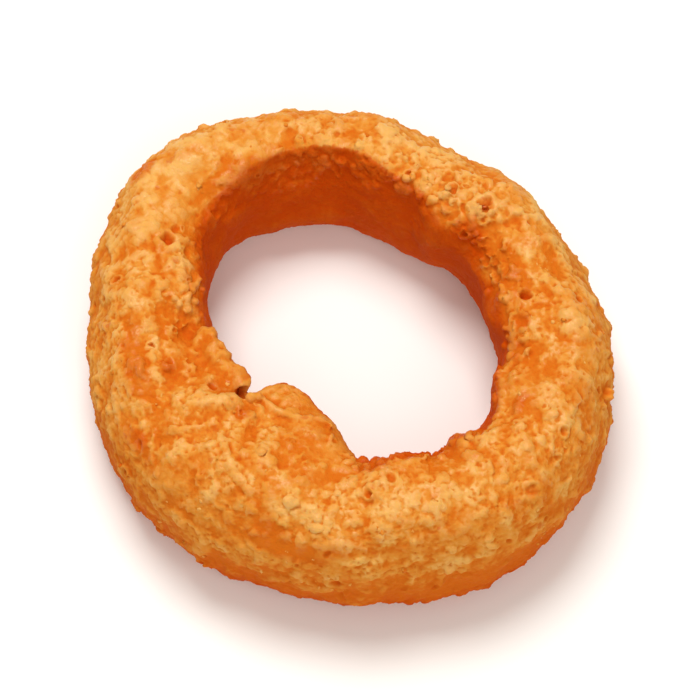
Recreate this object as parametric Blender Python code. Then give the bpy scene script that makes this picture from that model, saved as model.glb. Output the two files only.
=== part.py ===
"""One battered and fried onion ring, lying flat on its flattened underside.

Metres, +Z up. The origin is under the middle of the ring, on the surface that it lies on.
Angles run anticlockwise as seen from above: 0 is +X, 90 is +Y, the ring's far side.
"""

import math

import bpy
from mathutils import Vector, noise

NODE_NAME = "onion_ring"

# Driving dimensions, in metres
RING_WIDTH = 0.0572  # outer edge to outer edge, before the swellings below
WALL_THICKNESS = 0.0132  # from the hole to the outer side, at mid height
WALL_HEIGHT = 0.0172
THICKER_BY = 0.0013  # the wall is this much thicker on one side than the mean
THICKER_AT = -118  # degrees
TALLER_BY = 0.0007
TALLER_AT = -75

# The section is a rounded box, whose corners this power sets: 2 is an ellipse
SECTION_POWER = 2.35
CRISPER_BY = 1.5  # the corner between the top and the hole is crisper on the far side
CRISPER_AT = 98
CRISPER_REACH = 85
OUTER_WALL_LEAN = 0.0006  # the outer side leans in by this much towards the top

# Places where the outer side swells or pulls in: (angle, reach in degrees, height)
SWELLINGS = (
    (138, 36, 0.0024),
    (-47, 40, 0.0017),
    (62, 46, -0.0030),
    (20, 28, -0.0017),
    (-108, 26, -0.0005),
)
# Lips of batter that hang over the hole from the top edge: (angle, reach in degrees, height)
LIPS = (
    (-150, 13, 0.0022),
    (-167, 12, 0.0014),
    (178, 12, 0.0009),
    (98, 60, -0.0038),
    (78, 13, 0.0009),
    (50, 14, 0.0010),
    (5, 14, 0.0012),
    (-21, 13, 0.0010),
    (-49, 9, 0.0016),
    (-72, 9, 0.0009),
)
# The broken flap of batter that stands into the hole: (angle, height)
FLAP_PROFILE = (
    (-146, 0.0),
    (-141, 0.0053),
    (-133, 0.0060),
    (-119, 0.0055),
    (-106, 0.0047),
    (-97, 0.0035),
    (-87, 0.0),
)
LIP_AT = 142  # where the lips and the flap stand, in degrees round the section
LIP_REACH = 60  # degrees round the section, to either side
FLAP_REACH = 50

# Lumps of the batter: (size of a lump, height, offset into the noise)
LUMPS = (
    (0.0075, 0.0012, Vector((3.1, 7.7, 1.9))),
    (0.0034, 0.0008, Vector((11.3, 2.5, 8.2))),
)
CRUST_AT = 112  # where the batter is roughest, in degrees round the section
CRUST_REACH = 110  # degrees round the section, to either side
SMOOTH_SHARE = 0.45  # the lumps' height away from the crust, as a share of that on it

FOOT_CUT = 0.00055  # how much of the underside is pressed flat

# Faces round the ring and round the section, which crowd together near the lips
RING_STEPS = 160
SECTION_STEPS = 28
CROWDING = 0.5

BATTER_COLOUR = (0.74, 0.28, 0.04, 1.0)
BATTER_ROUGHNESS = 0.5


def turn_between(angle, other):
    """The signed turn from other to angle, in degrees, from -180 to 180."""
    return (angle - other + 180) % 360 - 180


def bump(angle, at, reach):
    """1 at the angle at, falling smoothly to 0 at reach degrees to either side."""
    share = min(1.0, abs(turn_between(angle, at)) / reach)
    return 0.5 + 0.5 * math.cos(math.pi * share)


def flap_height(angle):
    """How far the flap stands into the hole, straight between the profile's points."""
    for (start, low), (end, high) in zip(FLAP_PROFILE, FLAP_PROFILE[1:]):
        if start <= angle <= end:
            return low + (high - low) * (angle - start) / (end - start)
    return 0.0


def outer_radius(angle):
    return RING_WIDTH / 2 + sum(h * bump(angle, at, reach) for at, reach, h in SWELLINGS)


def wall_thickness(angle):
    side = math.cos(math.radians(angle - THICKER_AT))
    return WALL_THICKNESS + THICKER_BY * side


def wall_height(angle):
    return WALL_HEIGHT + TALLER_BY * math.cos(math.radians(angle - TALLER_AT))


def lip_height(angle):
    return sum(h * bump(angle, at, reach) for at, reach, h in LIPS)


def rounded(value, power):
    """A sine or cosine drawn out towards a box's corner."""
    return math.copysign(abs(value) ** (2 / power), value)


def section_point(angle, around):
    """Distance from the ring's axis, and height, of the smooth wall at around degrees of its section.

    The section's angle is 0 on the outer side, 90 on top and 180 at the hole.
    """
    half_thickness = wall_thickness(angle) / 2
    half_height = wall_height(angle) / 2
    power = SECTION_POWER
    if 90 < around % 360 < 180:
        power += CRISPER_BY * bump(angle, CRISPER_AT, CRISPER_REACH)
    outward = rounded(math.cos(math.radians(around)), power)
    upward = rounded(math.sin(math.radians(around)), power)
    middle = outer_radius(angle) - half_thickness
    lean = OUTER_WALL_LEAN * upward * max(0.0, outward)
    reach = middle + half_thickness * outward - lean
    reach -= lip_height(angle) * bump(around, LIP_AT, LIP_REACH)
    reach -= flap_height(angle) * bump(around, LIP_AT, FLAP_REACH)
    return reach, half_height * (1 + upward)


def crowded(around):
    """Moves an even spacing round the section so that its points crowd near the lips."""
    turn = math.radians(turn_between(around, LIP_AT))
    return LIP_AT + math.degrees(turn - CROWDING * math.sin(turn))


def lump_height(place, around):
    """The batter's lumps at a place: rough near the top edge, gentler on the sides."""
    roughness = SMOOTH_SHARE + (1 - SMOOTH_SHARE) * bump(around, CRUST_AT, CRUST_REACH)
    return roughness * sum(
        height * noise.noise(place / size + offset) for size, height, offset in LUMPS
    )


def shaped(angle, around):
    """The place of one vertex, given as degrees round the ring and round the section."""
    reach, height = section_point(angle, around)
    outward = Vector((math.cos(math.radians(angle)), math.sin(math.radians(angle)), 0))
    place = outward * reach + Vector((0, 0, height))
    facing = outward * math.cos(math.radians(around))
    facing.z = math.sin(math.radians(around))
    return place + facing * lump_height(place, around)


def shape_ring(mesh, major_radius):
    """Moves a torus's vertices to the ring's own shape, keeping its faces."""
    for vertex in mesh.vertices:
        x, y, z = vertex.co
        angle = math.degrees(math.atan2(y, x))
        around = math.degrees(math.atan2(z, math.hypot(x, y) - major_radius))
        vertex.co = shaped(angle, crowded(around))


def settle(mesh):
    """Presses the underside flat, and puts the origin under the middle of the ring."""
    places = [vertex.co for vertex in mesh.vertices]
    foot = min(p.z for p in places) + FOOT_CUT
    middle_x = (min(p.x for p in places) + max(p.x for p in places)) / 2
    middle_y = (min(p.y for p in places) + max(p.y for p in places)) / 2
    for vertex in mesh.vertices:
        x, y, z = vertex.co
        vertex.co = (x - middle_x, y - middle_y, max(z, foot) - foot)


def batter_material():
    material = bpy.data.materials.new("fried_batter")
    material.use_nodes = True
    shader = material.node_tree.nodes["Principled BSDF"]
    shader.inputs["Base Color"].default_value = BATTER_COLOUR
    shader.inputs["Roughness"].default_value = BATTER_ROUGHNESS
    shader.inputs["Metallic"].default_value = 0.0
    return material


def build_ring(collection):
    major_radius = (RING_WIDTH - WALL_THICKNESS) / 2
    bpy.ops.mesh.primitive_torus_add(
        major_segments=RING_STEPS,
        minor_segments=SECTION_STEPS,
        major_radius=major_radius,
        minor_radius=WALL_THICKNESS / 2,
    )
    ring = bpy.context.object
    ring.name = NODE_NAME
    ring.data.name = NODE_NAME
    shape_ring(ring.data, major_radius)
    settle(ring.data)
    ring.data.materials.append(batter_material())
    ring.data.shade_smooth()
    for owner in list(ring.users_collection):
        owner.objects.unlink(ring)
    collection.objects.link(ring)
    return ring


def main():
    for thing in list(bpy.data.objects):
        bpy.data.objects.remove(thing)
    collection = bpy.data.collections.new("onion_ring")
    bpy.context.scene.collection.children.link(collection)
    build_ring(collection)


main()
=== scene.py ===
import math
import random

import bmesh
import bpy
import numpy as np
from mathutils import Matrix, Vector, noise
from mathutils.bvhtree import BVHTree
from mathutils.kdtree import KDTree


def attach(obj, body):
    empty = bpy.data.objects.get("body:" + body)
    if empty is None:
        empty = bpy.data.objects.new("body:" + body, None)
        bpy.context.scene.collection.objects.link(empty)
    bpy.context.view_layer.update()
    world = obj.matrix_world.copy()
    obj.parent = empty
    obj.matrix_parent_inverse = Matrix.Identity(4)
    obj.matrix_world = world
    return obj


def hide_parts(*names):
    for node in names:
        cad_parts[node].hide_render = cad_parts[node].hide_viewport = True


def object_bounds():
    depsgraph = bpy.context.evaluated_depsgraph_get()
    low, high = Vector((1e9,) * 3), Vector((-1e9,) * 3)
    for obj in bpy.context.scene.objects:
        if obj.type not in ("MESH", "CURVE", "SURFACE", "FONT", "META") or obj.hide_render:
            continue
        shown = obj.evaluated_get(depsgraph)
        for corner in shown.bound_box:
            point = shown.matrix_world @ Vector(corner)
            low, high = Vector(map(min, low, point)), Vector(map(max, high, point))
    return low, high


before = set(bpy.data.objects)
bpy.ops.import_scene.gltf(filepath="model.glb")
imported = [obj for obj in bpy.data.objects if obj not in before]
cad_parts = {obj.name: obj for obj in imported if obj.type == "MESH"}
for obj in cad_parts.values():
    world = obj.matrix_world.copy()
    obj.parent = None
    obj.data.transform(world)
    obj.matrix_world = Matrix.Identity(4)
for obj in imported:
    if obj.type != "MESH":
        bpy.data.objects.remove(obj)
cadLow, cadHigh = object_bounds()
print("frame loaded")

scene = bpy.context.scene
scene.view_settings.view_transform = "Standard"

# Lengths are in metres, angles in degrees. The angle round the ring is 0 at +X and 90 on the far side.
# The angle round its section is 0 on the outer side, 90 on top and 180 at the hole.
mm = 0.001
wall = 13.2 * mm  # the ring's mean thickness, from the hole to the outer side
ringRadius = (cadHigh.x - cadLow.x - wall) / 2
ringMiddle = Vector((0, 0, cadHigh.z / 2))


# Camera: looks down on the ring as it lies

cameraSetup = {
    "elevation": 66,
    "distance": 0.8,
    "fill": 0.76,  # share of the picture's width that the ring takes
}


def makeCamera():
    camera = bpy.data.cameras.new("tableCamera")
    holder = bpy.data.objects.new("tableCamera", camera)
    scene.collection.objects.link(holder)
    lift = math.radians(cameraSetup["elevation"])
    back = Vector((0, -math.cos(lift), math.sin(lift)))
    holder.location = (cadLow + cadHigh) / 2 + back * cameraSetup["distance"]
    holder.rotation_euler = back.to_track_quat("Z", "Y").to_euler()
    pictureWidth = (cadHigh.x - cadLow.x) / cameraSetup["fill"]
    camera.lens = camera.sensor_width * cameraSetup["distance"] / pictureWidth
    camera.clip_start = 0.01
    scene.camera = holder


# Lights: one large soft light from behind and to the left, a weak one from the front, and a pale sky

lightSetup = [
    {"name": "keyLight", "azimuth": 108, "elevation": 68, "distance": 0.7, "size": 0.38, "power": 3.45},
    {"name": "fillLight", "azimuth": -75, "elevation": 50, "distance": 0.8, "size": 0.60, "power": 2.0},
]
skySetup = {"colour": (1.0, 0.975, 0.90, 1.0), "strength": 0.47}


def makeLights():
    for setup in lightSetup:
        light = bpy.data.lights.new(setup["name"], "AREA")
        light.shape = "DISK"
        light.size = setup["size"]
        light.energy = setup["power"]
        holder = bpy.data.objects.new(setup["name"], light)
        scene.collection.objects.link(holder)
        turn = math.radians(setup["azimuth"])
        lift = math.radians(setup["elevation"])
        level = Vector((math.cos(turn), math.sin(turn), 0)) * math.cos(lift)
        back = level + Vector((0, 0, math.sin(lift)))
        holder.location = back * setup["distance"]
        holder.rotation_euler = back.to_track_quat("Z", "Y").to_euler()
    world = bpy.data.worlds.new("paleSky")
    world.use_nodes = True
    sky = world.node_tree.nodes["Background"]
    sky.inputs["Color"].default_value = skySetup["colour"]
    sky.inputs["Strength"].default_value = skySetup["strength"]
    scene.world = world


floorSetup = {"size": 4.0, "colour": (0.94, 0.925, 0.89, 1.0), "roughness": 0.55}


def makeFloor():
    bpy.ops.mesh.primitive_plane_add(size=floorSetup["size"])
    floor = bpy.context.object
    floor.name = "paleTable"
    paint = bpy.data.materials.new("paleTable")
    paint.use_nodes = True
    shader = paint.node_tree.nodes["Principled BSDF"]
    shader.inputs["Base Color"].default_value = floorSetup["colour"]
    shader.inputs["Roughness"].default_value = floorSetup["roughness"]
    floor.data.materials.append(paint)


makeCamera()
makeLights()
makeFloor()
print("camera, lights and floor made")


# Small tools for shaping

def noiseShift(seed):
    # moves a noise pattern so that each seed gives another one
    return Vector((seed * 7.31, seed * 3.17, seed * 5.93))


def smoothStep(low, high, value):
    share = np.clip((value - low) / (high - low), 0, 1)
    return share * share * (3 - 2 * share)


def between(first, second, share):
    # a pair of values, a share of the way from the first pair to the second
    return [a + (b - a) * share for a, b in zip(first, second)]


def turnBetween(angle, other):
    return (angle - other + 180) % 360 - 180


def ringAngles(points):
    # the angle round the ring, and round its section, of each point
    spread = np.hypot(points[:, 0], points[:, 1])
    angle = np.degrees(np.arctan2(points[:, 1], points[:, 0]))
    around = np.degrees(np.arctan2(points[:, 2] - ringMiddle.z, spread - ringRadius))
    return angle, around


def patchMask(angle, around, patches):
    # the strongest of several soft patches: (angle, reach, section angle, reach, strength)
    mask = np.zeros(np.shape(angle))
    for at, reach, level, spread, strength in patches:
        away = np.hypot(turnBetween(angle, at) / reach, turnBetween(around, level) / spread)
        mask = np.maximum(mask, strength * smoothStep(1.0, 0.35, away))
    return mask


def noiseField(points, size, seed, octaves=1):
    # soft random values, mostly between -1 and 1
    shift = noiseShift(seed)
    return np.array([noise.fractal(Vector(p) / size + shift, 1.0, 2.0, octaves) for p in points])


def granuleField(points, size, seed, bare):
    # rounded granules of uneven height, up to 1, with the given share of places left bare
    shift = noiseShift(seed)
    away, centres = [], []
    for point in points:
        distances, nearest = noise.voronoi(Vector(point) / size + shift)
        away.append(distances[0])
        centres.append(nearest[0])
    # a random value from each centre's place, always the same
    chance = np.sin(np.array(centres) @ np.array((127.1, 311.7, 74.7))) * 437.585 % 1
    # taller granules are wider too
    tall = np.clip((chance - bare) / (1 - bare), 0, 1) ** 0.7
    return tall * (1 - np.clip(np.array(away) / (0.45 + 0.4 * tall), 0, 1) ** 2)


def swayField(points, size, seeds):
    # a soft random push for each point, with one seed for each axis
    return np.stack([noiseField(points, size, seed) for seed in seeds], 1)


def meshPoints(mesh, field="co"):
    flat = np.empty(len(mesh.vertices) * 3)
    mesh.vertices.foreach_get(field, flat)
    return flat.reshape(-1, 3)


def setPoints(mesh, points):
    mesh.vertices.foreach_set("co", points.ravel())
    mesh.update()


def keepAboveTable(mesh):
    points = meshPoints(mesh)
    points[:, 2] = np.maximum(points[:, 2], 0)
    setPoints(mesh, points)


def setAttribute(mesh, name, values):
    layer = mesh.attributes.new(name, "FLOAT", "POINT")
    layer.data.foreach_set("value", np.ascontiguousarray(values, dtype=np.float32))


def appliedMesh(piece):
    # the piece's mesh with its modifiers applied
    graph = bpy.context.evaluated_depsgraph_get()
    mesh = bpy.data.meshes.new_from_object(piece.evaluated_get(graph))
    piece.modifiers.clear()
    piece.data = mesh
    return mesh


def softened(mesh, points, rounds):
    # the points after each has moved, so many times, to the middle of its neighbours
    ends = np.empty(len(mesh.edges) * 2, dtype=np.int32)
    mesh.edges.foreach_get("vertices", ends)
    start, end = ends.reshape(-1, 2).T
    count = len(points)
    neighbours = np.bincount(start, minlength=count) + np.bincount(end, minlength=count)
    for _ in range(rounds):
        sums = [
            np.bincount(start, points[end, axis], count) + np.bincount(end, points[start, axis], count)
            for axis in range(3)
        ]
        points = np.stack(sums, 1) / neighbours[:, None]
    return points


def ballShape(detail):
    # points and faces of a unit ball
    shape = bmesh.new()
    bmesh.ops.create_icosphere(shape, subdivisions=detail, radius=1)
    points = np.array([v.co for v in shape.verts])
    faces = np.array([[v.index for v in f.verts] for f in shape.faces])
    shape.free()
    return points, faces


def joinedMesh(name, shapes):
    # one mesh from a list of (points, faces)
    points = np.concatenate([p for p, _ in shapes])
    starts = np.cumsum([0] + [len(p) for p, _ in shapes])
    faces = np.concatenate([f + start for (_, f), start in zip(shapes, starts)])
    mesh = bpy.data.meshes.new(name)
    mesh.from_pydata(points.tolist(), [], faces.tolist())
    return mesh


def placedBall(ball, place, normal, size, spin, unevenness, seed):
    # a ball made uneven, sized along its own axes, and stood on the surface
    points, faces = ball
    shift = Vector((seed * 1.7, seed * 2.3, seed * 0.9))
    swell = np.array([noise.noise(Vector(p) * 1.1 + shift) for p in points])
    points = points * (1 + unevenness * swell)[:, None] * np.array(size)
    tilt = normal.to_track_quat("Z", "Y").to_matrix() @ Matrix.Rotation(spin, 3, "Z")
    return points @ np.array(tilt).T + np.array(place), faces


# The ring's batter

batterSetup = {
    "voxel": 0.17 * mm,  # size of the cells in which the ring and its blobs are fused
    "merge": 0.001 * mm,
    "inset": 0.34 * mm,  # the smooth ring is drawn in by this, to leave room for the relief
    "foot": (0.95, 0.5),  # but not where it lies flat: how far the surface faces down
    "smoothing": 1,  # rounds of smoothing after the fusing
    "triangles": 195000,
    # where the crust is rough: (angle, reach, section angle, reach, strength)
    "crust": [
        (170, 70, 72, 85, 0.85),
        (115, 45, 75, 70, 0.8),
        (62, 45, 104, 50, 1.0),
        (10, 45, 90, 62, 0.8),
        (-35, 45, 85, 60, 0.8),
        (-85, 42, 88, 48, 1.0),
        (-135, 38, 105, 62, 0.9),
        (-76, 30, 34, 22, 0.8),
        (0, 720, -5, 85, 0.6),
    ],
    # where the edge of the hole is rounder, and how many rounds of softening make it so
    "rounded": [(114, 60, 98, 48, 1.0)],
    "rounding": 26,
    # where it is smoother
    "smooth": [
        (130, 38, 78, 50, 0.6),
        (-103, 20, 50, 9, 0.6),
    ],
    # where it is paler, and where it is a deeper orange; the deeper patches low on the outer side and
    # before the far edge of the hole are painted shade
    "pale": [
        (146, 18, 32, 18, 0.4),
        (136, 20, 55, 24, 0.5),
        (-106, 9, 86, 11, 0.9),
        (-97, 7, 78, 9, 0.8),
        (-80, 10, 88, 9, 0.9),
        (-62, 9, 80, 9, 0.7),
        (-86, 13, 47, 7, 0.9),
        (-67, 10, 22, 8, 0.7),
        (75, 24, 94, 14, 0.5),
        (30, 18, 64, 20, 0.4),
        (72, 26, 74, 20, 0.4),
        (112, 18, 70, 12, 0.3),
        (-128, 18, 20, 16, 0.3),
    ],
    "deep": [
        (-103, 17, 51, 11, 1.0),
        (-60, 26, -14, 26, 0.7),
        (-150, 10, 52, 12, 0.5),
        (-32, 12, 96, 8, 0.5),
        (-75, 80, -35, 52, 0.45),
        (-168, 18, 79, 15, 1.0),
        (-125, 18, 112, 18, 0.25),
        (20, 13, 80, 8, 0.5),
        (20, 16, 115, 13, 1.0),
        (178, 12, 108, 10, 0.6),
        (118, 28, 88, 10, 0.6),
    ],
    # reddish brown spots
    "stained": [
        (-165, 5, 106, 10, 0.55),
        (-152, 5, 132, 10, 0.60),
        (-150, 4, 56, 10, 0.60),
        (-137, 4, 131, 10, 0.45),
        (-110, 5, 65, 8, 0.35),
        (140, 5, 36, 11, 0.50),
        (1, 4, 117, 9, 0.60),
        (-27, 5, 103, 8, 0.50),
        (-102, 11, 42, 7, 0.30),
    ],
}


def surfaceTree(mesh):
    return BVHTree.FromPolygons([v.co for v in mesh.vertices], [p.vertices for p in mesh.polygons])


def surfaceFinder(mesh):
    # a function that gives the place and normal of the surface at an angle and a section angle
    tree = surfaceTree(mesh)

    def find(angle, around):
        turn, tilt = math.radians(angle), math.radians(around)
        outward = Vector((math.cos(turn), math.sin(turn), 0))
        ray = outward * math.cos(tilt) + Vector((0, 0, math.sin(tilt)))
        place, normal, _, _ = tree.ray_cast(outward * ringRadius + ringMiddle, ray)
        return place, normal

    return find


def smoothRing():
    # a smooth copy of the fixed ring, drawn in a little
    piece = bpy.data.objects.new("battered_ring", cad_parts["onion_ring"].data.copy())
    scene.collection.objects.link(piece)
    shape = bmesh.new()
    shape.from_mesh(piece.data)
    bmesh.ops.remove_doubles(shape, verts=shape.verts, dist=batterSetup["merge"])
    shape.to_mesh(piece.data)
    shape.free()
    finer = piece.modifiers.new("finer", "SUBSURF")
    finer.levels = finer.render_levels = 1
    mesh = appliedMesh(piece)
    points, normals = meshPoints(mesh), meshPoints(mesh, "normal")
    drawnIn = batterSetup["inset"] * smoothStep(*batterSetup["foot"], -normals[:, 2])
    points = points - normals * drawnIn[:, None]
    share = patchMask(*ringAngles(points), batterSetup["rounded"])[:, None]
    setPoints(mesh, points + (softened(mesh, points, batterSetup["rounding"]) - points) * share)
    return piece


blobSetup = {
    "seed": 11,
    "count": 2400,
    "around": (-100, 220),
    "radius": (0.28 * mm, 0.85 * mm),
    "smallness": 2.5,  # the power that makes most of them small
    "sink": 0.35,  # how deep a blob's centre lies, in radii
    "flatten": (0.28, 0.62),
    "stretch": (1.0, 1.45),
    "unevenness": 0.8,
}


def crustBlobs(find):
    pick = random.Random(blobSetup["seed"])
    ball = ballShape(2)
    low, high = blobSetup["radius"]
    shapes = []
    while len(shapes) < blobSetup["count"]:
        angle = pick.uniform(-180, 180)
        around = pick.uniform(*blobSetup["around"])
        if pick.random() > patchMask(angle, around, batterSetup["crust"]):
            continue
        place, normal = find(angle, around)
        radius = low + (high - low) * pick.random() ** blobSetup["smallness"]
        flatten = pick.uniform(*blobSetup["flatten"])
        stretch = pick.uniform(*blobSetup["stretch"])
        size = (radius * stretch, radius / stretch, radius * flatten)
        place = place - normal * radius * flatten * blobSetup["sink"]
        spin = pick.uniform(0, math.pi)
        shape = placedBall(ball, place, normal, size, spin, blobSetup["unevenness"], len(shapes))
        shapes.append(shape)
    return shapes


# where batter hangs raggedly over the hole's upper edge:
# (from angle, to angle, section angle, how many bits for each degree, height)
fringeSetup = {
    "seed": 23,
    "stretches": [
        (38, 98, 116, 1.6, 0.55 * mm),
        (98, 150, 114, 0.5, 0.32 * mm),
        (-20, 38, 126, 1.3, 0.7 * mm),
        (160, 192, 124, 1.0, 0.65 * mm),
        (192, 205, 128, 1.0, 0.6 * mm),
        (-92, -40, 128, 1.2, 0.6 * mm),
        (-136, -96, 130, 0.8, 0.4 * mm),
    ],
    "scatter": 8,  # degrees round the section
    "thickness": (0.17 * mm, 0.38 * mm),
    "length": (1.0, 2.4),  # in thicknesses
    "tall": (0.5, 1.0),  # in heights of their stretch
    "lean": 0.25,  # how unevenly the bits lean
    "upright": (0.2, 0.2),  # how far they stand up from the surface, and how unevenly
    "unevenness": 0.5,
}


def fringeBits(find):
    pick = random.Random(fringeSetup["seed"])
    ball = ballShape(2)
    shapes = []
    for start, end, level, density, height in fringeSetup["stretches"]:
        for _ in range(int((end - start) * density)):
            angle = pick.uniform(start, end)
            around = pick.gauss(level, fringeSetup["scatter"])
            place, normal = find(angle, around)
            thick = pick.uniform(*fringeSetup["thickness"])
            tall = height * pick.uniform(*fringeSetup["tall"])
            along = pick.uniform(*fringeSetup["length"]) * thick
            lean = Vector((pick.gauss(0, fringeSetup["lean"]), pick.gauss(0, fringeSetup["lean"]), 0))
            lean.z = pick.gauss(*fringeSetup["upright"])
            leaning = (normal + lean).normalized()
            spin = pick.uniform(0, math.pi)
            size = (along, thick, tall)
            shape = placedBall(ball, place, leaning, size, spin, fringeSetup["unevenness"], len(shapes))
            shapes.append(shape)
    return shapes


# thin ridges of batter, each through points (angle, section angle) of the surface
ridgeSetup = {
    "step": 0.22 * mm,
    "swell": 0.3,  # how much a ridge swells and thins along its way
    "swellSize": 0.9 * mm,
    "unevenness": 0.4,
    "lines": [
        {"through": [(-141, 141), (-138, 146)], "thick": 0.45 * mm, "tall": 0.85 * mm},
        {
            "through": [(-137, 146), (-127, 145), (-118, 144), (-108, 145), (-99, 146)],
            "thick": 0.34 * mm,
            "tall": 0.50 * mm,
        },
        {"through": [(-147, 78), (-144, 96), (-140, 115)], "thick": 0.42 * mm, "tall": 0.30 * mm},
        {
            "through": [(-136, 110), (-130, 100), (-124, 92), (-117, 84)],
            "thick": 0.42 * mm,
            "tall": 0.34 * mm,
        },
        {
            "through": [(-176, 140), (-168, 143), (-159, 146), (-150, 147)],  # the lip beside the notch
            "thick": 1.3 * mm,
            "tall": 1.75 * mm,
        },
        {"through": [(-72, 132), (-66, 138), (-60, 136)], "thick": 0.4 * mm, "tall": 0.6 * mm},
        {"through": [(-12, 21), (-14, 19)], "thick": 0.38 * mm, "tall": 0.95 * mm},
        {"through": [(-98, 61), (-91, 63), (-86, 58)], "thick": 0.35 * mm, "tall": 0.25 * mm},
    ],
}


def ridgeBits(find):
    ball = ballShape(2)
    shapes = []
    for line in ridgeSetup["lines"]:
        for start, end in zip(line["through"], line["through"][1:]):
            length = (find(*end)[0] - find(*start)[0]).length
            steps = max(2, int(length / ridgeSetup["step"]))
            for step in range(steps):
                place, normal = find(*between(start, end, step / steps))
                swell = 1 + ridgeSetup["swell"] * noise.noise(place / ridgeSetup["swellSize"])
                thick, tall = line["thick"] * swell, line["tall"] * swell
                size = (thick, thick, tall)
                shape = placedBall(ball, place, normal, size, 0, ridgeSetup["unevenness"], len(shapes))
                shapes.append(shape)
    return shapes


# pits: (angle, section angle, radius, depth, rim's height), in millimetres
markedPits = [
    (153, 91, 0.95, 0.8, 0.12),
    (43, 106, 0.95, 0.9, 0.12),
    (10, 113, 0.75, 0.8, 0.10),
    (-166, 107, 0.6, 0.45, 0.15),
    (-153, 128, 0.6, 0.5, 0.10),
    (-149, 54, 0.5, 0.4, 0.05),
    (-45, 52, 0.8, 0.22, 0.05),
    (-77, 108, 0.7, 0.25, 0.08),
    (-144.5, 141, 1.1, 1.3, 0.0),
]
# bubbles that burst, with a raised rim round a shallow hole
markedBubbles = [
    (42, 133, 0.50, 0.35, 0.40),
    (54, 112, 0.50, 0.40, 0.35),
    (70, 116, 0.45, 0.35, 0.30),
    (-173, 96, 0.45, 0.30, 0.25),
    (168, 60, 0.50, 0.30, 0.25),
]
pitSetup = {
    "seed": 5,
    "pits": 80,
    "bubbles": 34,
    "around": (-100, 220),
    "radius": (0.26, 0.60),  # in millimetres
    "smallness": 2.2,
    "depth": (0.35, 0.70),  # in radii
    "bubbleDepth": 0.7,  # a bubble's depth, as a share of a pit's
    "pitRim": 0.05,  # in radii
    "bubbleRim": (0.4, 0.75),
    "bowl": (1.0, 0.35),  # where the bowl begins and where it is deepest, in radii
    "rimAt": 1.15,
    "rimWidth": 0.3,
    # painted shade: pits are browner the deeper they are
    "pitShadeDepth": 0.45,  # in millimetres: a pit this deep is fully brown
    # rims are paler the higher they stand, partly a painted highlight
    "paleRim": 0.25,  # in millimetres: a rim this high is fully pale
    "offCrust": 0.12,  # how likely a pit is away from the crust
    "unevenness": 0.38 * mm,
    "unevenSize": 1.1 * mm,
}


def pitList():
    pick = random.Random(pitSetup["seed"])
    low, high = pitSetup["radius"]
    pits = markedPits + markedBubbles
    for kind, count in (("pit", pitSetup["pits"]), ("bubble", pitSetup["bubbles"])):
        made = 0
        while made < count:
            angle = pick.uniform(-180, 180)
            around = pick.uniform(*pitSetup["around"])
            onCrust = patchMask(angle, around, batterSetup["crust"])
            if pick.random() > pitSetup["offCrust"] + (1 - pitSetup["offCrust"]) * onCrust:
                continue
            radius = low + (high - low) * pick.random() ** pitSetup["smallness"]
            depth = radius * pick.uniform(*pitSetup["depth"])
            if kind == "pit":
                rim = radius * pitSetup["pitRim"]
            else:
                depth *= pitSetup["bubbleDepth"]
                rim = radius * pick.uniform(*pitSetup["bubbleRim"])
            pits.append((angle, around, radius, depth, rim))
            made += 1
    return pits


def pitRelief(points, find):
    # the height that pits take away and rims add, how much painted shade each point takes in a pit, and
    # how much it is on a rim
    setup = pitSetup
    swayed = points + setup["unevenness"] * swayField(points, setup["unevenSize"], (21, 22, 23))
    tree = KDTree(len(swayed))
    for index, point in enumerate(swayed):
        tree.insert(point, index)
    tree.balance()
    height, pitShade, onRim = np.zeros((3, len(points)))
    for angle, around, radius, depth, rim in pitList():
        found = tree.find_range(find(angle, around)[0], 2 * radius * mm)
        if not found:
            continue
        index = np.array([f[1] for f in found])
        away = np.array([f[2] for f in found]) / (radius * mm)
        bowl = smoothStep(*setup["bowl"], away)
        edge = np.exp(-((away - setup["rimAt"]) / setup["rimWidth"]) ** 2)
        height[index] += (rim * edge - depth * bowl) * mm
        pitShade[index] = np.maximum(pitShade[index], bowl * min(1, depth / setup["pitShadeDepth"]))
        onRim[index] = np.maximum(onRim[index], edge * min(1, rim / setup["paleRim"]))
    return height, pitShade, onRim


def standingOut(mesh, points, normals, rounds):
    # how far each point stands out from the surface smoothed around it
    return np.sum((points - softened(mesh, points, rounds)) * normals, 1)


def fusedRing():
    # the smooth ring and its blobs of batter, fused into one skin
    piece = smoothRing()
    find = surfaceFinder(piece.data)
    tree = surfaceTree(piece.data)
    blobs = joinedMesh("blobs", crustBlobs(find) + fringeBits(find) + ridgeBits(find))
    shape = bmesh.new()
    shape.from_mesh(piece.data)
    shape.from_mesh(blobs)
    shape.to_mesh(piece.data)
    shape.free()
    print("ring: batter blobs added")
    fuse = piece.modifiers.new("fuse", "REMESH")
    fuse.mode = "VOXEL"
    fuse.voxel_size = batterSetup["voxel"]
    soften = piece.modifiers.new("soften", "SMOOTH")
    soften.factor = 0.5
    soften.iterations = batterSetup["smoothing"]
    mesh = appliedMesh(piece)
    print("ring: fused,", len(mesh.vertices), "points")
    return piece, find, tree


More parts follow.
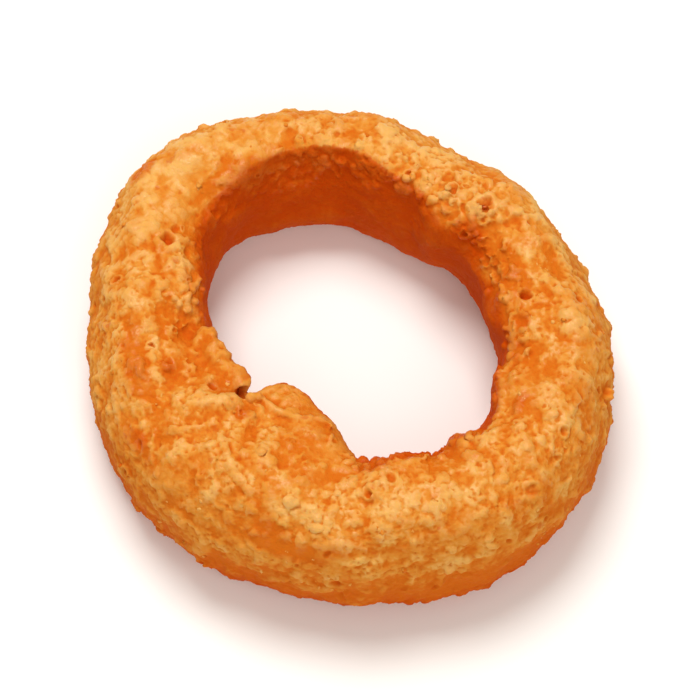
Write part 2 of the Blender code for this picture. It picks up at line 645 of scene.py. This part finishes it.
# the relief of the crust: how far each pattern stands out, and its size
reliefSetup = {
    "lumps": 0.34 * mm,
    "lumpSize": 4.5 * mm,
    "plate": 0.09 * mm,  # how far the islands of crust stand above the smooth batter
    "plateSize": 2.2 * mm,
    "plateEdge": (-0.35, 0.4),
    "plateByCrust": 1.3,  # more of the surface is an island where the crust is rougher than usual
    "usualCrust": 0.75,
    "plateByTone": 0.5,
    "granules": 0.25 * mm,
    "granuleSize": 1.15 * mm,
    "granulesBare": 0.5,  # share of the places with no granule
    "fineGranules": 0.16 * mm,
    "fineGranuleSize": 0.64 * mm,
    "fineGranulesBare": 0.3,
    "lowGranules": 0.3,  # the fine granules are this much taller low on the outer side
    "grain": 0.12 * mm,
    "grainSize": 0.42 * mm,
    "sway": 0.25 * mm,
    "swaySize": 0.8 * mm,
    "offPlate": 0.6,  # the granules' height off the islands of crust, as a share of that on them
    "holeWall": 0.2,  # they are this much lower on the wall of the hole
    "wallFacing": (0.5, 0.85),  # how far that wall faces the hole, and its section angles
    "wallAround": (110, 135),
    "lowFacing": (0.25, -0.5),  # how far up the low places face, and how far to the hole
    "lowToHole": (0.0, 0.4),
}


def ringPlaces(points, tree):
    # what the relief and the tone need to know of each point's place
    setup = reliefSetup
    angle, around = ringAngles(points)
    facing = np.array([tree.find_nearest(point)[1] for point in points])
    turn = np.radians(angle)
    toHole = -(facing[:, 0] * np.cos(turn) + facing[:, 1] * np.sin(turn))
    kinds = ("crust", "pale", "deep", "smooth", "stained")
    crust, pale, deep, smooth, stained = (patchMask(angle, around, batterSetup[kind]) for kind in kinds)
    tone = pale - deep
    plates = noiseField(points, setup["plateSize"], 2, 4)
    low = smoothStep(*setup["lowFacing"], facing[:, 2]) * (1 - smoothStep(*setup["lowToHole"], toHole))
    islands = plates + setup["plateByCrust"] * (crust - setup["usualCrust"]) + setup["plateByTone"] * tone
    return {
        "angle": angle,
        "around": around,
        "facing": facing,
        "toHole": toHole,
        "low": low,
        "tone": tone,
        "smooth": smooth,
        "stain": stained * (toneSetup["stain"] + toneSetup["stainPatchy"] * plates),
        "plates": plates,
        "plate": smoothStep(*setup["plateEdge"], islands),
    }


def crustHeight(points, places):
    setup = reliefSetup
    lumps = noiseField(points, setup["lumpSize"], 1, 2)
    swayed = points + setup["sway"] * swayField(points, setup["swaySize"], (31, 32, 33))
    granules = granuleField(swayed, setup["granuleSize"], 3, setup["granulesBare"])
    fineGranules = granuleField(swayed, setup["fineGranuleSize"], 4, setup["fineGranulesBare"])
    grain = noiseField(points, setup["grainSize"], 5, 3)
    crisp = (setup["offPlate"] + (1 - setup["offPlate"]) * places["plate"]) * (1 - places["smooth"])
    holeWall = smoothStep(*setup["wallFacing"], places["toHole"])
    holeWall *= smoothStep(*setup["wallAround"], places["around"] % 360)
    crisp *= 1 - setup["holeWall"] * holeWall
    return (
        setup["lumps"] * lumps
        + setup["plate"] * places["plate"]
        + setup["granules"] * granules * crisp
        + setup["fineGranules"] * fineGranules * crisp * (1 + setup["lowGranules"] * places["low"])
        + setup["grain"] * grain * crisp
    )


# the values that the materials read: which crust is pale, raised, pitted or browned, and where highlight
# and shade are painted into the colour
toneSetup = {
    "crust": 0.385,  # all over, and then what each kind of place adds
    "onPlate": 0.36,
    "inPatch": 0.5,
    # painted shade: the crust is darker low on the outer side, where it faces sideways and down
    "low": -0.25,
    "stained": -1.1,
    "stain": 0.85,  # how strong the stains are, and how patchy
    "stainPatchy": 0.5,
    # relief: raised crust is paler and hollows deeper, partly the crust's own colour and partly painted
    # highlight and painted shade
    "relief": 0.5,  # all over, and then what each kind of relief adds
    "fineRounds": 6,  # rounds of softening that fine relief stands out from
    "fine": 0.12,
    "broadRounds": 50,
    "broad": 0.32,
    # painted shade: the steep sides of granules are a deeper orange
    "steepShade": -0.4,
    "steepShadeRange": (0.12, 0.55),
    # raised rims are paler, partly a painted highlight
    "onRim": 0.4,
    # painted shade in the deepest creases
    "creaseShade": 0.6,  # how brown the deepest creases are
    "creaseShadeRange": (0.8, 2.6),
    "topRange": (0.3, 0.85),  # how far up the surface faces where the oil shines
    # painted shade: low on the sides, where the surface faces down, the batter is darker and browner; on
    # the wall of the hole, where it faces the hole, it is browned, partly real browning and partly
    # painted shade
    "lowShade": 0.85,
    "lowRange": (0.4, -0.5),
    "wallFacing": (0.5, 0.88),
    "wallAround": (104, 124),
    "wallPatchy": 0.2,
    # on the far side that begins nearer the edge of the hole, so that the slope below the edge takes
    # painted shade
    "farSide": [(100, 75, 140, 90, 1.0)],
    "farFacing": (0.28, 0.68),
    "farAround": (74, 90),
    # the lip beside the notch stays golden
    "goldenLip": [(-164, 24, 136, 24, 0.85)],
}


def toastAndShadeOf(places):
    # how browned each place is: partly real browning and partly painted shade on the wall of the hole,
    # painted shade low on the sides
    setup = toneSetup
    farSide = patchMask(places["angle"], places["around"], setup["farSide"])
    wallFacing = between(setup["wallFacing"], setup["farFacing"], farSide)
    wallAround = between(setup["wallAround"], setup["farAround"], farSide)
    onWall = smoothStep(*wallFacing, places["toHole"] + setup["wallPatchy"] * places["plates"])
    onWall *= smoothStep(*wallAround, places["around"] % 360)
    onWall *= 1 - patchMask(places["angle"], places["around"], setup["goldenLip"])
    shadeLow = setup["lowShade"] * smoothStep(*setup["lowRange"], places["facing"][:, 2])
    return np.maximum(onWall, shadeLow)


def setTones(mesh, points, places, pitShade, onRim):
    setup = toneSetup
    normals = meshPoints(mesh, "normal")
    # painted shade on the steep sides of granules
    steepShade = smoothStep(*setup["steepShadeRange"], 1 - np.sum(normals * places["facing"], 1))
    fine = standingOut(mesh, points, normals, setup["fineRounds"])
    broad = standingOut(mesh, points, normals, setup["broadRounds"])
    # paler where the crust stands out and deeper where it sinks: partly painted highlight and painted
    # shade
    relief = setup["relief"] + setup["fine"] * fine / fine.std() + setup["broad"] * broad / broad.std()
    relief += setup["steepShade"] * steepShade
    crust = setup["crust"] + setup["onPlate"] * places["plate"] + setup["inPatch"] * places["tone"]
    # painted shade low on the outer side
    crust += setup["low"] * places["low"]
    crust += setup["stained"] * places["stain"]
    # painted shade: the deepest creases are browned
    creaseShade = setup["creaseShade"] * smoothStep(*setup["creaseShadeRange"], -fine / fine.std())
    setAttribute(mesh, "crust", np.clip(crust, 0, 1))
    setAttribute(mesh, "relief", np.clip(relief + setup["onRim"] * onRim, 0, 1))
    # pit: painted shade in the pits and the deepest creases, and the real reddish brown stains
    setAttribute(mesh, "pit", np.clip(np.maximum.reduce([pitShade, creaseShade, places["stain"]]), 0, 1))
    setAttribute(mesh, "toastshade", toastAndShadeOf(places))
    setAttribute(mesh, "top", smoothStep(*setup["topRange"], places["facing"][:, 2]))


def makeRing():
    piece, find, tree = fusedRing()
    mesh = piece.data
    points, normals = meshPoints(mesh), meshPoints(mesh, "normal")
    places = ringPlaces(points, tree)
    pits, pitShade, onRim = pitRelief(points, find)
    points = points + normals * (crustHeight(points, places) + pits)[:, None]
    points[:, 2] = np.maximum(points[:, 2], 0)
    setPoints(mesh, points)
    setTones(mesh, points, places, pitShade, onRim)
    print("ring: relief shaped")
    thin = piece.modifiers.new("thin", "DECIMATE")
    thin.ratio = batterSetup["triangles"] / (2 * len(mesh.polygons))
    mesh = appliedMesh(piece)
    keepAboveTable(mesh)
    mesh.shade_smooth()
    mesh.name = piece.name
    print("ring: thinned,", len(mesh.polygons), "triangles")
    return piece


# Materials

def addNode(tree, kind, **fields):
    node = tree.nodes.new(kind)
    for field, value in fields.items():
        setattr(node, field, value)
    return node


def newGroup(name, inputs, outputs):
    group = bpy.data.node_groups.new(name, "ShaderNodeTree")
    for label, kind, value in inputs:
        socket = group.interface.new_socket(name=label, in_out="INPUT", socket_type=kind)
        socket.default_value = value
    for label, kind in outputs:
        group.interface.new_socket(name=label, in_out="OUTPUT", socket_type=kind)
    return group, addNode(group, "NodeGroupInput"), addNode(group, "NodeGroupOutput")


def wire(tree, source, target):
    tree.links.new(source, target)


def noiseNode(tree, where, size, detail, roughness=0.55):
    node = addNode(tree, "ShaderNodeTexNoise")
    node.inputs["Scale"].default_value = 1 / size
    node.inputs["Detail"].default_value = detail
    node.inputs["Roughness"].default_value = roughness
    wire(tree, where, node.inputs["Vector"])
    return node.outputs["Fac"]


def mathNode(tree, operation, first, second):
    node = addNode(tree, "ShaderNodeMath", operation=operation)
    for socket, value in zip(node.inputs, (first, second)):
        if isinstance(value, (int, float)):
            socket.default_value = value
        else:
            wire(tree, value, socket)
    return node.outputs["Value"]


def rangeNode(tree, value, low, high, newLow=0.0, newHigh=1.0):
    node = addNode(tree, "ShaderNodeMapRange", interpolation_type="SMOOTHSTEP")
    wire(tree, value, node.inputs["Value"])
    node.inputs["From Min"].default_value = low
    node.inputs["From Max"].default_value = high
    node.inputs["To Min"].default_value = newLow
    node.inputs["To Max"].default_value = newHigh
    return node.outputs["Result"]


def mixNode(tree, share, first, second):
    node = addNode(tree, "ShaderNodeMix", data_type="RGBA")
    wire(tree, share, node.inputs["Factor"])
    wire(tree, first, node.inputs["A"])
    wire(tree, second, node.inputs["B"])
    return node.outputs["Result"]


# how much each thing shifts the batter's tone, and the sizes of the noises; the relief's shift paints
# raised crust paler and hollows deeper, partly as painted highlight and painted shade
friedSetup = {
    "crust": 0.95,
    "relief": 0.56,
    "broad": 1.15,
    "broadSize": 3.1 * mm,
    "speckle": 0.30,
    "speckleSize": 1.0 * mm,
    "flecks": 0.10,
    "fleckSize": 0.45 * mm,
    "toastshade": -0.55,
    # the tones between which one colour turns into the next
    "deepToGolden": (1.10, 1.72),
    "goldenToPale": (1.55, 2.30),
    # what is brown: the pits and creases, as painted shade, the stains, a few spots, and the toasted
    # places, partly painted shade, less where the tone is high
    "pits": 0.85,
    "spotSize": 1.7 * mm,
    "spots": (0.66, 0.76, 0.0, 0.5),
    "mottle": (0.6, 1.4, 1.0, 0.7),
}


def toneGroup():
    # fried batter's colour: brown in the pits, as painted shade, orange low down, partly painted shade,
    # golden, and pale on the highest crust, partly a painted highlight
    colour, value = "NodeSocketColor", "NodeSocketFloat"
    group, given, made = newGroup(
        "friedTone",
        [
            ("Crust", value, 0.5),
            ("Relief", value, 0.5),
            ("Pit", value, 0.0),
            ("ToastShade", value, 0.0),
            ("Pale", colour, (1, 1, 1, 1)),
            ("Golden", colour, (1, 1, 1, 1)),
            ("Deep", colour, (1, 1, 1, 1)),
            ("Brown", colour, (1, 1, 1, 1)),
        ],
        [("Color", colour)],
    )
    where = addNode(group, "ShaderNodeTexCoord").outputs["Object"]
    broad = noiseNode(group, where, friedSetup["broadSize"], 3)
    speckle = noiseNode(group, where, friedSetup["speckleSize"], 3, 0.6)
    flecks = noiseNode(group, where, friedSetup["fleckSize"], 2, 0.6)
    spots = noiseNode(group, where, friedSetup["spotSize"], 2)
    tone = mathNode(group, "MULTIPLY", given.outputs["Crust"], friedSetup["crust"])
    shifts = {
        "relief": given.outputs["Relief"],
        "broad": broad,
        "speckle": speckle,
        "flecks": flecks,
        "toastshade": given.outputs["ToastShade"],
    }
    for kind, source in shifts.items():
        tone = mathNode(group, "ADD", tone, mathNode(group, "MULTIPLY", source, friedSetup[kind]))
    golden = rangeNode(group, tone, *friedSetup["deepToGolden"])
    pale = rangeNode(group, tone, *friedSetup["goldenToPale"])
    mixed = mixNode(group, golden, given.outputs["Deep"], given.outputs["Golden"])
    mixed = mixNode(group, pale, mixed, given.outputs["Pale"])
    browned = mathNode(group, "MULTIPLY", given.outputs["Pit"], friedSetup["pits"])
    browned = mathNode(group, "MAXIMUM", browned, rangeNode(group, spots, *friedSetup["spots"]))
    mottle = rangeNode(group, tone, *friedSetup["mottle"])
    mottled = mathNode(group, "MULTIPLY", given.outputs["ToastShade"], mottle)
    browned = mathNode(group, "MAXIMUM", browned, mottled)
    mixed = mixNode(group, browned, mixed, given.outputs["Brown"])
    wire(group, mixed, made.inputs["Color"])
    return group


# the finest roughness of the crust: two sizes of grain, and where the oil shines
grainSetup = {
    "coarseSize": 0.60 * mm,
    "fineSize": 0.26 * mm,
    "fine": 0.5,  # height of the fine grain, as a share of the coarse
    "oilSize": 1.6 * mm,
    "oily": (0.38, 0.56),
    "raised": (0.40, 0.85),
}


def grainGroup():
    # oil shines in patches, where the crust is raised and faces up
    value = "NodeSocketFloat"
    group, given, made = newGroup(
        "crustGrain",
        [("Dull", value, 0.6), ("Shiny", value, 0.35), ("Top", value, 1.0), ("Relief", value, 0.5)],
        [("Height", value), ("Roughness", value), ("Oil", value)],
    )
    where = addNode(group, "ShaderNodeTexCoord").outputs["Object"]
    coarse = noiseNode(group, where, grainSetup["coarseSize"], 3, 0.7)
    fine = noiseNode(group, where, grainSetup["fineSize"], 1, 0.6)
    height = mathNode(group, "ADD", coarse, mathNode(group, "MULTIPLY", fine, grainSetup["fine"]))
    wire(group, height, made.inputs["Height"])
    patches = noiseNode(group, where, grainSetup["oilSize"], 2)
    raised = rangeNode(group, given.outputs["Relief"], *grainSetup["raised"])
    oily = rangeNode(group, patches, *grainSetup["oily"])
    oil = mathNode(group, "MULTIPLY", oily, given.outputs["Top"])
    oil = mathNode(group, "MULTIPLY", oil, raised)
    patchy = addNode(group, "ShaderNodeMix", data_type="FLOAT")
    wire(group, oil, patchy.inputs["Factor"])
    wire(group, given.outputs["Dull"], patchy.inputs["A"])
    wire(group, given.outputs["Shiny"], patchy.inputs["B"])
    wire(group, patchy.outputs["Result"], made.inputs["Roughness"])
    wire(group, oil, made.inputs["Oil"])
    return group


friedTone = toneGroup()
crustGrain = grainGroup()

batterLook = {
    "pale": (0.77, 0.395, 0.100, 1),
    "golden": (0.70, 0.252, 0.030, 1),
    "deep": (0.64, 0.150, 0.008, 1),
    "brown": (0.56, 0.066, 0.001, 1),
    "dull": 0.70,
    "shiny": 0.40,
    "gloss": 0.03,
    "oil": 0.5,
    "oilRoughness": 0.30,
    "grainDepth": 0.12 * mm,
    "glow": 0.25,  # weight of the light that passes under the surface
    "glowReach": 0.7 * mm,
    "glowTint": (1.0, 0.42, 0.10),
}


def batterMaterial(name, look):
    material = bpy.data.materials.new(name)
    material.use_nodes = True
    tree = material.node_tree
    shader = tree.nodes["Principled BSDF"]
    tone = addNode(tree, "ShaderNodeGroup", node_tree=friedTone)
    for socket, key in (("Pale", "pale"), ("Golden", "golden"), ("Deep", "deep"), ("Brown", "brown")):
        tone.inputs[socket].default_value = look[key]
    layers = {}
    # the attributes carry painted shade in pits, creases, low sides and the wall of the hole, beside real
    # browning and stains
    for socket in ("Crust", "Relief", "Pit", "ToastShade", "Top"):
        layer = addNode(tree, "ShaderNodeAttribute", attribute_name=socket.lower())
        layers[socket] = layer.outputs["Fac"]
    for socket in ("Crust", "Relief", "Pit", "ToastShade"):
        wire(tree, layers[socket], tone.inputs[socket])
    wire(tree, tone.outputs["Color"], shader.inputs["Base Color"])
    grain = addNode(tree, "ShaderNodeGroup", node_tree=crustGrain)
    grain.inputs["Dull"].default_value = look["dull"]
    grain.inputs["Shiny"].default_value = look["shiny"]
    wire(tree, layers["Top"], grain.inputs["Top"])
    wire(tree, layers["Relief"], grain.inputs["Relief"])
    wire(tree, grain.outputs["Roughness"], shader.inputs["Roughness"])
    oil = mathNode(tree, "MULTIPLY", grain.outputs["Oil"], look["oil"])
    wire(tree, oil, shader.inputs["Coat Weight"])
    shader.inputs["Coat Roughness"].default_value = look["oilRoughness"]
    bump = addNode(tree, "ShaderNodeBump")
    bump.inputs["Strength"].default_value = 1.0
    bump.inputs["Distance"].default_value = look["grainDepth"]
    wire(tree, grain.outputs["Height"], bump.inputs["Height"])
    wire(tree, bump.outputs["Normal"], shader.inputs["Normal"])
    wire(tree, bump.outputs["Normal"], shader.inputs["Coat Normal"])
    shader.inputs["Specular IOR Level"].default_value = look["gloss"]
    shader.inputs["Subsurface Weight"].default_value = look["glow"]
    shader.inputs["Subsurface Scale"].default_value = look["glowReach"]
    shader.inputs["Subsurface Radius"].default_value = look["glowTint"]
    return material


# Crumbs: small nubs of batter that stick to the crust

crumbSetup = {
    "seed": 41,
    "clusters": 110,
    "around": (-60, 200),
    "inCluster": (1, 4),
    "spread": 0.75 * mm,
    "radius": (0.15 * mm, 0.34 * mm),
    "smallness": 2,
    "sink": 0.5,  # in radii
    "flatten": (0.5, 0.9),
    "stretch": (0.8, 1.5),
    "unevenness": 1.0,
    "offCrust": 0.04,  # how likely a cluster is away from the crust
    "facingUp": 0.85,  # inside the ring, nubs lie only where the surface faces up by this
    "rise": (-0.3, 0.8),  # heights of a unit ball that are its foot and its top
    "crust": (0.2, 0.9),  # from the deepest coloured nub to the palest
    # nubs are paler towards their top, partly a painted highlight, and browner at the foot, painted shade
    "relief": 0.15,
    "reliefByChance": 0.3,
    "reliefByRise": 0.5,
    "footShade": 0.6,
}


def makeCrumbs(ring):
    pick = random.Random(crumbSetup["seed"])
    ball = ballShape(2)
    find = surfaceFinder(ring.data)
    low, high = crumbSetup["radius"]
    aside = math.degrees(crumbSetup["spread"] / ringRadius)
    across = math.degrees(crumbSetup["spread"] / (wall / 2))
    shapes = []
    clusters = 0
    while clusters < crumbSetup["clusters"]:
        angle = pick.uniform(-180, 180)
        around = pick.uniform(*crumbSetup["around"])
        onCrust = patchMask(angle, around, batterSetup["crust"])
        if pick.random() > crumbSetup["offCrust"] + (1 - crumbSetup["offCrust"]) * onCrust:
            continue
        clusters += 1
        for _ in range(pick.randint(*crumbSetup["inCluster"])):
            place, normal = find(pick.gauss(angle, aside), pick.gauss(around, across))
            if normal.z < crumbSetup["facingUp"] and math.hypot(place.x, place.y) < ringRadius:
                continue
            radius = low + (high - low) * pick.random() ** crumbSetup["smallness"]
            stretch = pick.uniform(*crumbSetup["stretch"])
            size = (radius * stretch, radius, radius * pick.uniform(*crumbSetup["flatten"]))
            place = place - normal * radius * crumbSetup["sink"]
            spin = pick.uniform(0, math.pi)
            shape = placedBall(ball, place, normal, size, spin, crumbSetup["unevenness"], len(shapes))
            shapes.append(shape)
    mesh = joinedMesh("batter_crumbs", shapes)
    mesh.shade_smooth()
    keepAboveTable(mesh)
    piece = bpy.data.objects.new("batter_crumbs", mesh)
    scene.collection.objects.link(piece)
    chance = np.repeat([pick.random() for _ in shapes], len(ball[0]))
    rise = np.tile(smoothStep(*crumbSetup["rise"], ball[0][:, 2]), len(shapes))
    low, high = crumbSetup["crust"]
    # painted highlight towards each nub's top and painted shade at its foot
    relief = crumbSetup["relief"] + crumbSetup["reliefByChance"] * chance
    setAttribute(mesh, "crust", low + (high - low) * chance)
    setAttribute(mesh, "relief", relief + crumbSetup["reliefByRise"] * rise)
    setAttribute(mesh, "pit", crumbSetup["footShade"] * (1 - rise))
    setAttribute(mesh, "top", np.ones(len(mesh.vertices)))
    print("crumbs:", len(shapes), "nubs,", len(mesh.polygons), "triangles")
    return piece


ring = makeRing()
ring.data.materials.clear()
ring.data.materials.append(batterMaterial("friedBatter", batterLook))
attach(ring, "root")
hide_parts("onion_ring")
print("ring made")

crumbs = makeCrumbs(ring)
crumbLook = {**batterLook, "glow": 0.0, "oil": 0.12}
crumbs.data.materials.append(batterMaterial("crispCrumbs", crumbLook))
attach(crumbs, "root")
print("crumbs made")
